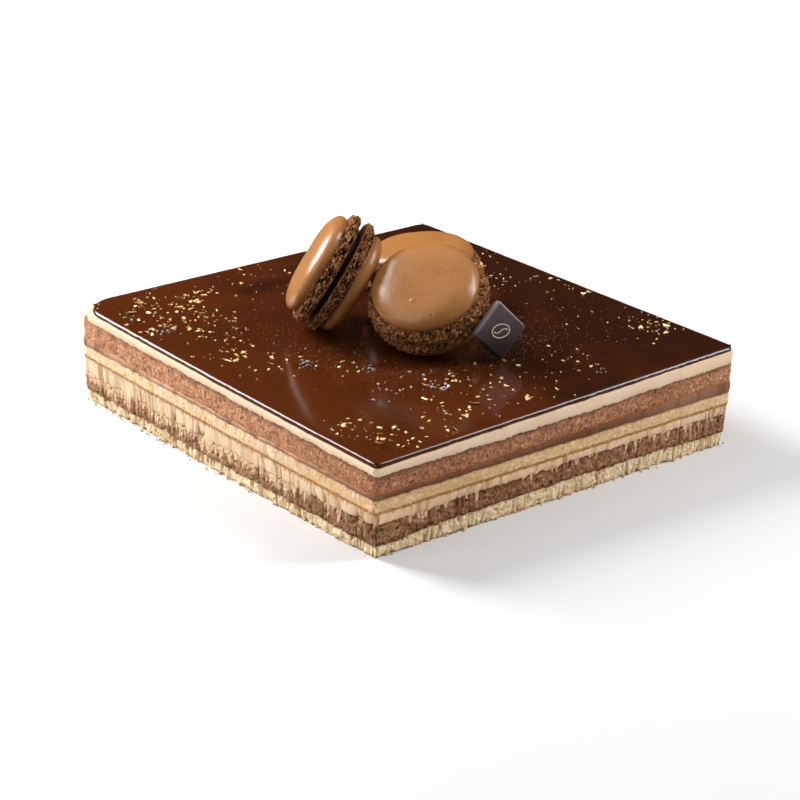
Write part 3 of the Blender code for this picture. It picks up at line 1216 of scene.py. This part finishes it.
@dataclass
class ChocolateSquare:
    """A moulded square that stands on one corner. Sizes are in mm and directions in degrees."""

    bench: Bench
    side: float = 16.6
    thickness: float = 3.4
    bevel: float = 1.1
    heading: float = -99.5
    lean: float = 9.0
    print_radius: float = 3.9
    print_width: float = 0.34
    print_height: float = 0.08

    def placement(self) -> Matrix:
        """From the square's own axes, with +Z out of its face, to the cake's."""
        low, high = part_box("chocolate_square")
        on_corner = Matrix.Rotation(math.radians(45), 4, "Z")
        back = Matrix.Rotation(math.radians(90 - self.lean), 4, "X")
        face = Matrix.Rotation(math.radians(self.heading + 90), 4, "Z")
        return Matrix.Translation((low + high) / 2) @ face @ back @ on_corner

    def build_body(self) -> bpy.types.Object:
        """Models the chocolate, its face a little pillowed."""
        bm = bmesh.new()
        bmesh.ops.create_cube(bm, size=MM)
        bmesh.ops.scale(bm, vec=(self.side, self.side, self.thickness), verts=bm.verts)
        bmesh.ops.bevel(
            bm,
            geom=bm.edges[:],
            offset=self.bevel * MM,
            offset_type="OFFSET",
            segments=4,
            profile=0.5,
            affect="EDGES",
            material=-1,
        )
        long_edges = [edge for edge in bm.edges if edge.calc_length() > self.side * 0.5 * MM]
        bmesh.ops.subdivide_edges(bm, edges=long_edges, cuts=15, use_grid_fill=True)
        for vert in bm.verts:
            x, y, z = vert.co / MM
            edge = max(abs(x), abs(y)) / (self.side / 2)
            vert.co.z -= math.copysign(0.12 * smooth_step(0.35, 0.85, edge), z) * MM * (edge < 0.9)
            vert.co.z += 0.03 * wander(x, y, z, 3.0, 51.0) * MM
        share_of = bm.verts.layers.float.new("share")
        rim_of = bm.verts.layers.float.new("rim")
        # share rises from the lower corner to the upper one and drives the painted light; rim marks the
        # upper bevels for the painted highlight.
        for vert in bm.verts:
            share = (vert.co.x + vert.co.y) / MM / (2 * self.side) + 0.5
            edge = max(abs(vert.co.x), abs(vert.co.y)) / (self.side / 2 * MM)
            vert[share_of] = share
            vert[rim_of] = smooth_step(0.86, 0.93, edge) * smooth_step(0.35, 0.75, share)
        bmesh.ops.recalc_face_normals(bm, faces=bm.faces)
        bm.transform(self.placement())
        return self.bench.piece(
            bm, "chocolate_square_body", CHOCOLATE, Slot.CHOCOLATE, ["chocolate_square"], 40
        )

    def ribbon(
        self, bm: bmesh.types.BMesh, line: Callable[[float], Vector], count: int, closed: bool
    ) -> None:
        """Adds a thin printed line to the face.

        Args:
            bm: Mesh that takes it.
            line: Its path, in mm, from 0 at its start to 1 at its end.
            count: How many stretches it is made of.
            closed: Whether its end meets its start.
        """
        rings = []
        for k in range(count if closed else count + 1):
            here = line(k / count)
            ahead = (line((k + 0.01) / count) - line((k - 0.01) / count)).normalized()
            across = Vector((-ahead.y, ahead.x, 0)) * self.print_width / 2
            up = Vector((0, 0, self.print_height / 2))
            corners = (across + up, up - across, -across - up, across - up)
            rings.append([bm.verts.new((here + corner) * MM) for corner in corners])
        pairs = list(zip(rings, rings[1:])) + ([(rings[-1], rings[0])] if closed else [])
        for first, second in pairs:
            loops = [bm.edges.get((a, b)) or bm.edges.new((a, b)) for a, b in self.around(first)]
            loops += [bm.edges.get((a, b)) or bm.edges.new((a, b)) for a, b in self.around(second)]
            bmesh.ops.bridge_loops(bm, edges=loops)
        if not closed:
            bm.faces.new(rings[0])
            bm.faces.new(rings[-1][::-1])

    @staticmethod
    def around(ring: list[bmesh.types.BMVert]) -> Iterable[tuple[bmesh.types.BMVert, bmesh.types.BMVert]]:
        """Neighbouring pairs round a ring."""
        return zip(ring, ring[1:] + ring[:1])

    def build_print(self) -> bpy.types.Object:
        """Prints a plain coffee bean: an oval with a wavy crease."""
        bm = bmesh.new()
        lift = self.thickness / 2 + 0.02
        level = Matrix.Rotation(math.radians(-45), 3, "Z")

        def oval(share: float) -> Vector:
            """The bean's outline."""
            angle = math.tau * share
            return level @ Vector(
                (self.print_radius * math.cos(angle), self.print_radius * 0.66 * math.sin(angle), lift)
            )

        def crease(share: float) -> Vector:
            """The line down the bean's middle."""
            along = mix(-0.8, 0.8, share)
            return level @ Vector(
                (self.print_radius * along, self.print_radius * 0.16 * math.sin(along * 4), lift)
            )

        self.ribbon(bm, oval, 40, True)
        self.ribbon(bm, crease, 18, False)
        bmesh.ops.recalc_face_normals(bm, faces=bm.faces)
        bm.transform(self.placement())
        return self.bench.piece(bm, "chocolate_square_print", PRINT, Slot.CHOCOLATE)

    def build(self) -> None:
        """Models the square and its print."""
        self.build_body()
        self.build_print()


# ---------------------------------------------------------------------------------------------------
# Scattered toppings
# ---------------------------------------------------------------------------------------------------


@dataclass(frozen=True)
class Sprinkle:
    """A pinch of something scattered about a place on the glaze, in mm."""

    x: float
    y: float
    spread_x: float
    spread_y: float
    count: int
    size: float = 1.0


@dataclass
class Toppings:
    """Gold leaf, sugar crystals and dust on the glaze, and crumbs round the foot."""

    bench: Bench
    block: CakeBlock
    macarons: Sequence[Macaron]
    leaf: float = 0.08  # thickness of the gold leaf, crumpled, in mm
    density: float = 1.8  # things drawn for each one of a pinch's count
    looseness: float = 0.9  # how far a pinch strays, for each mm of its spread

    gold: tuple[Sprinkle, ...] = (
        Sprinkle(-70, 70, 12, 12, 40, 1.1),
        Sprinkle(-52, 68, 5, 9, 16, 1.3),
        Sprinkle(-66, 50, 14, 8, 26, 1.1),
        Sprinkle(-66, 30, 13, 9, 22, 1.0),
        Sprinkle(-74, 14, 7, 8, 16, 0.9),
        Sprinkle(-58, -2, 12, 8, 14, 1.0),
        Sprinkle(-43, -15, 6, 5, 6, 1.1),
        Sprinkle(-80, -64, 7, 5, 14, 1.0),
        Sprinkle(-71, -80, 6, 7, 16, 1.2),
        Sprinkle(-38, -76, 13, 8, 22, 0.9),
        Sprinkle(-22, -54, 11, 7, 24, 1.1),
        Sprinkle(-8, -78, 14, 8, 14, 0.9),
        Sprinkle(22, -66, 17, 8, 13, 0.9),
        Sprinkle(58, -34, 16, 18, 12, 0.8),
        Sprinkle(80, -60, 8, 9, 26, 1.1),
        Sprinkle(66, 14, 10, 16, 22, 0.9),
        Sprinkle(83, -6, 4, 12, 8, 0.9),
        Sprinkle(83, 50, 5, 9, 12, 0.9),
        Sprinkle(-25, 78, 24, 9, 22, 0.9),
        Sprinkle(50, 78, 26, 9, 8, 0.8),
    )
    sugar: tuple[Sprinkle, ...] = (
        Sprinkle(-55, -11, 2, 3, 7, 1.2),
        Sprinkle(-38, -26, 3, 3, 7, 1.1),
        Sprinkle(-44, -46, 5, 5, 8, 0.9),
        Sprinkle(-30, -53, 3, 3, 9, 1.3),
        Sprinkle(-26, -38, 5, 5, 6, 0.9),
        Sprinkle(29, -78, 4, 4, 5, 0.9),
        Sprinkle(-77, 52, 6, 6, 6, 1.0),
    )
    dust: tuple[Sprinkle, ...] = (
        Sprinkle(-10, -34, 30, 22, 900),
        Sprinkle(26, -36, 22, 14, 1100),
        Sprinkle(-40, 4, 14, 26, 800),
        Sprinkle(0, 0, 60, 60, 400),
    )

    def bare(self, x: float, y: float, margin: float) -> bool:
        """Whether a place is on the glaze and clear of the macarons' feet."""
        if abs(x) > self.block.half.x - 2.5 or abs(y) > self.block.half.y - 2.5:
            return False
        for macaron in self.macarons:
            centre = macaron.placement().translation / MM
            if math.hypot(x - centre.x, y - centre.y) < margin:
                return False
        return True

    def scatter(
        self, sprinkles: Sequence[Sprinkle], seed: int, margin: float
    ) -> list[tuple[Vector, float]]:
        """Places of scattered things.

        Args:
            sprinkles: The pinches.
            seed: Seed of the draw.
            margin: How far to keep from the macarons' middles, in mm.

        Returns:
            Places on the glaze in mm, each with its size.
        """
        draw = random.Random(seed)
        places = []
        for pinch in sprinkles:
            for _ in range(round(self.density * pinch.count)):
                x = draw.gauss(pinch.x, pinch.spread_x * self.looseness)
                y = draw.gauss(pinch.y, pinch.spread_y * self.looseness)
                size = pinch.size * draw.lognormvariate(-0.1, 0.55)
                if self.bare(x, y, margin):
                    places.append((Vector((x, y, self.block.top(x, y))), size))
        return places

    @staticmethod
    def chip(
        bm: bmesh.types.BMesh,
        place: Vector,
        sizes: Vector,
        turn: Matrix,
        draw: random.Random,
        fine: int,
        jitter: float,
    ) -> None:
        """Adds one small rough chip.

        Args:
            bm: Mesh that takes it.
            place: Its middle, in mm.
            sizes: Its half sizes, in mm.
            turn: Its turn.
            draw: Source of its roughness.
            fine: 1 for 20 faces, 2 for 80.
            jitter: How rough it is, as a share of its sizes.
        """
        made = bmesh.ops.create_icosphere(bm, subdivisions=fine, radius=1)["verts"]
        for vert in made:
            rough = Vector([1 + draw.uniform(-jitter, jitter) for _ in range(3)])
            vert.co = (turn @ (vert.co * rough * sizes) + place) * MM

    def build_gold(self) -> bpy.types.Object:
        """Crumpled flakes of gold leaf, some lying flat and some curling up."""
        bm = bmesh.new()
        draw = random.Random(71)
        for place, size in self.scatter(self.gold, 7, 23):
            size = min(0.55 * size, 1.6)
            sizes = Vector((size * draw.uniform(0.7, 1.5), size * draw.uniform(0.4, 0.9), 0))
            lean = draw.gauss(0, 0.28) + (draw.random() < 0.12) * draw.uniform(0.4, 0.9)
            turn = Matrix.Rotation(draw.uniform(0, math.tau), 3, "Z") @ Matrix.Rotation(lean, 3, "X")
            lift = 0.2 + abs(math.sin(lean)) * sizes.y * 0.8
            self.flake(bm, place + Vector((0, 0, lift)), sizes, turn, draw)
        bmesh.ops.solidify(bm, geom=bm.faces[:], thickness=self.leaf * MM)
        bmesh.ops.recalc_face_normals(bm, faces=bm.faces)
        return self.bench.piece(bm, "gold_leaf", GOLD, Slot.GLAZE, sharp=25)

    @staticmethod
    def flake(
        bm: bmesh.types.BMesh, place: Vector, sizes: Vector, turn: Matrix, draw: random.Random
    ) -> None:
        """Adds one crumpled flake with a torn outline, still without thickness.

        Args:
            bm: Mesh that takes it.
            place: Its middle, in mm.
            sizes: Its half sizes, in mm.
            turn: Its turn.
            draw: Source of its tears and its crumpling.
        """
        made = bmesh.ops.create_circle(bm, cap_ends=True, cap_tris=True, segments=9, radius=1)["verts"]
        fold = draw.uniform(-0.5, 0.5)
        for vert in made:
            torn = draw.uniform(0.45, 1.25)
            x, y = vert.co.x * torn, vert.co.y * torn
            crumple = min(sizes.x, sizes.y) * (fold * abs(x) + draw.uniform(-0.22, 0.22))
            vert.co = (turn @ Vector((x * sizes.x, y * sizes.y, crumple)) + place) * MM

    def build_sugar(self) -> bpy.types.Object:
        """Small clear crystals in loose clumps."""
        bm = bmesh.new()
        draw = random.Random(72)
        for place, size in self.scatter(self.sugar, 8, 23):
            size *= 0.75
            sizes = Vector((size * draw.uniform(0.3, 0.9), size * draw.uniform(0.25, 0.5), size * 0.35))
            turn = Matrix.Rotation(draw.uniform(0, math.tau), 3, "Z")
            turn = turn @ Matrix.Rotation(draw.gauss(0, 0.5), 3, "X")
            self.chip(bm, place + Vector((0, 0, sizes.z * 0.8)), sizes, turn, draw, 1, 0.35)
        bmesh.ops.recalc_face_normals(bm, faces=bm.faces)
        return self.bench.piece(bm, "sugar_crystals", SUGAR, Slot.GLAZE, sharp=20)

    def build_dust(self) -> bpy.types.Object:
        """Fine pale dust, thickest round the macarons."""
        bm = bmesh.new()
        draw = random.Random(73)
        for place, size in self.scatter(self.dust, 9, 17):
            grain = min(size, 2.0) * draw.uniform(0.03, 0.09)
            made = bmesh.ops.create_icosphere(bm, subdivisions=1, radius=1)["verts"]
            for vert in made:
                vert.co = (vert.co * grain + place) * MM
        return self.bench.piece(bm, "pale_dust", DUST, Slot.PLAIN_SPONGE)

    def build_crumbs(self) -> bpy.types.Object:
        """Crumbs that the trimming knife left along the foot."""
        bm = bmesh.new()
        draw = random.Random(74)
        for _ in range(160):
            u = draw.uniform(-1, 1)
            side = draw.choice((-1, 1))
            corner = (u, side) if draw.random() < 0.5 else (side, u)
            place, out = self.block.outline(*corner, self.block.layers[0].corners)
            size = min(draw.lognormvariate(-1.1, 0.45), 0.9)
            away = abs(draw.gauss(0, 0.9)) - 1.4
            spot = place + out * away
            sizes = Vector([size * draw.uniform(0.6, 1.1) for _ in range(3)])
            turn = Matrix.Rotation(draw.uniform(0, math.tau), 3, "Z")
            self.chip(bm, Vector((spot.x, spot.y, sizes.z * 0.85)), sizes, turn, draw, 2, 0.3)
        bmesh.ops.recalc_face_normals(bm, faces=bm.faces)
        return self.bench.piece(bm, "loose_crumbs", CRUMBS, Slot.PLAIN_SPONGE, sharp=35)

    def build(self) -> None:
        """Models every topping."""
        self.build_gold()
        self.build_sugar()
        self.build_dust()
        self.build_crumbs()


# ---------------------------------------------------------------------------------------------------
# Studio
# ---------------------------------------------------------------------------------------------------


@dataclass(frozen=True)
class Softbox:
    """A soft light that looks at the cake. Directions are in degrees and sizes in metres."""

    name: str
    azimuth: float  # from +X towards +Y
    elevation: float
    distance: float
    width: float
    height: float
    power: float

    def build(self, aim: Vector) -> None:
        """Hangs the light."""
        light = bpy.data.lights.new(self.name, "AREA")
        light.shape = "RECTANGLE"
        light.size = self.width
        light.size_y = self.height
        light.energy = self.power
        lamp = bpy.data.objects.new(self.name, light)
        a, e = math.radians(self.azimuth), math.radians(self.elevation)
        way = Vector((math.cos(a) * math.cos(e), math.sin(a) * math.cos(e), math.sin(e)))
        lamp.location = aim + way * self.distance
        lamp.rotation_euler = way.to_track_quat("Z", "Y").to_euler()
        bpy.context.scene.collection.objects.link(lamp)


@dataclass(frozen=True)
class Studio:
    """Pale floor, soft light and the camera."""

    azimuth: float = -40.92  # degrees, 0 looks along +Y
    elevation: float = 21.32
    roll: float = 2.33
    distance: float = 0.8563
    lens: float = 94.44
    aim_x: float = 0.0150  # metres from the middle of the foot
    aim_y: float = 0.0174
    lights: tuple[Softbox, ...] = (
        Softbox("back left strip", 114, 33, 0.8, 0.36, 0.5, 12.0),
        Softbox("right box", -34, 38, 0.9, 0.22, 0.7, 7.2),
        Softbox("left fill", -177, 34, 0.85, 0.6, 0.6, 1.8),
        Softbox("ceiling", 60, 88, 2.4, 4.0, 4.0, 22.0),
    )

    def build_camera(self) -> None:
        """Sets the camera."""
        a, e, roll = (math.radians(angle) for angle in (self.azimuth, self.elevation, self.roll))
        back = Vector((math.sin(a) * math.cos(e), -math.cos(a) * math.cos(e), math.sin(e)))
        level = Vector((math.cos(a), math.sin(a), 0))
        upright = back.cross(level)
        right = level * math.cos(roll) + upright * math.sin(roll)
        up = upright * math.cos(roll) - level * math.sin(roll)
        camera = bpy.data.objects.new("camera", bpy.data.cameras.new("camera"))
        camera.data.lens = self.lens
        camera.data.sensor_width = 36
        camera.data.clip_start = 0.05
        turn = Matrix((right, up, back)).transposed().to_4x4()
        place = Vector((self.aim_x, self.aim_y, 0)) + back * self.distance
        camera.matrix_world = Matrix.Translation(place) @ turn
        bpy.context.scene.collection.objects.link(camera)
        bpy.context.scene.camera = camera

    def build_floor(self) -> None:
        """Lays a pale floor that fades to white far off, and is dark where gloss mirrors it."""
        bm = bmesh.new()
        bmesh.ops.create_grid(bm, x_segments=1, y_segments=1, size=6)
        mesh = bpy.data.meshes.new("floor")
        bm.to_mesh(mesh)
        bm.free()
        paint = Paint("pale floor")
        length = paint.add("ShaderNodeVectorMath", {"operation": "LENGTH"}, {0: paint.place})
        far = Value(paint, length.outputs["Value"]).between(0.2, 1.0)
        glow = paint.blend(far, (0.0, 0.0, 0.0), (0.75, 0.75, 0.75))
        mesh.materials.append(
            paint.surface(
                Base_Color=(0.66, 0.66, 0.66),
                Roughness=0.9,
                Specular_IOR_Level=0.1,
                Emission_Color=glow,
                Emission_Strength=1.0,
            )
        )
        mirrored = paint.add("ShaderNodeBsdfDiffuse", None, {"Color": (0.07, 0.055, 0.05)})
        path = paint.add("ShaderNodeLightPath")
        inputs = {0: path.outputs["Is Glossy Ray"], 1: paint.shader.outputs[0], 2: mirrored.outputs[0]}
        pick = paint.add("ShaderNodeMixShader", None, inputs)
        paint.tree.links.new(pick.outputs[0], paint.tree.nodes["Material Output"].inputs["Surface"])
        floor = bpy.data.objects.new("floor", mesh)
        bpy.context.scene.collection.objects.link(floor)

    def build_sky(self) -> None:
        """Surrounds the cake with soft light, and gives the gloss a dark warm room to mirror."""
        world = bpy.data.worlds.new("studio")
        bpy.context.scene.world = world
        world.use_nodes = True
        tree = world.node_tree
        room = tree.nodes["Background"]
        room.inputs["Color"].default_value = (0.95, 0.97, 1.0, 1)
        room.inputs["Strength"].default_value = 0.08
        mirror = tree.nodes.new("ShaderNodeBackground")
        mirror.inputs["Color"].default_value = (0.030, 0.019, 0.015, 1)
        path = tree.nodes.new("ShaderNodeLightPath")
        pick = tree.nodes.new("ShaderNodeMixShader")
        tree.links.new(path.outputs["Is Glossy Ray"], pick.inputs[0])
        tree.links.new(room.outputs[0], pick.inputs[1])
        tree.links.new(mirror.outputs[0], pick.inputs[2])
        tree.links.new(pick.outputs[0], tree.nodes["World Output"].inputs["Surface"])

    def build(self) -> None:
        """Sets up the floor, the lights and the camera."""
        self.build_camera()
        self.build_floor()
        self.build_sky()
        aim = Vector((0, 0, 0.03))
        for light in self.lights:
            light.build(aim)
        bpy.context.scene.view_settings.view_transform = "Standard"


def main() -> None:
    """Builds the cake and its studio."""
    logging.basicConfig(level=logging.INFO, format="%(message)s")
    Studio().build()
    bench = Bench()
    block = CakeBlock(bench)
    block.build()
    blemishes = (
        Mark(10.8, -0.3, 1.5, 0.3),
        Mark(4.3, -4.0, 1.1, 0.2),
        Mark(15.3, 8.5, 0.6, -0.3),
        Mark(-3.8, 5.5, 0.5, -0.2),
    )
    macarons = (
        Macaron(bench, "front_macaron", -152.3, 55.4, 1, marks=blemishes),
        Macaron(bench, "left_macaron", 137.9, 29.1, 2, recess=2.4),
        Macaron(bench, "back_macaron", 171.0, 83.5, 3),
    )
    for macaron in macarons:
        macaron.build()
    ChocolateSquare(bench).build()
    Toppings(bench, block, macarons).build()


if __name__ == "__main__":
    main()
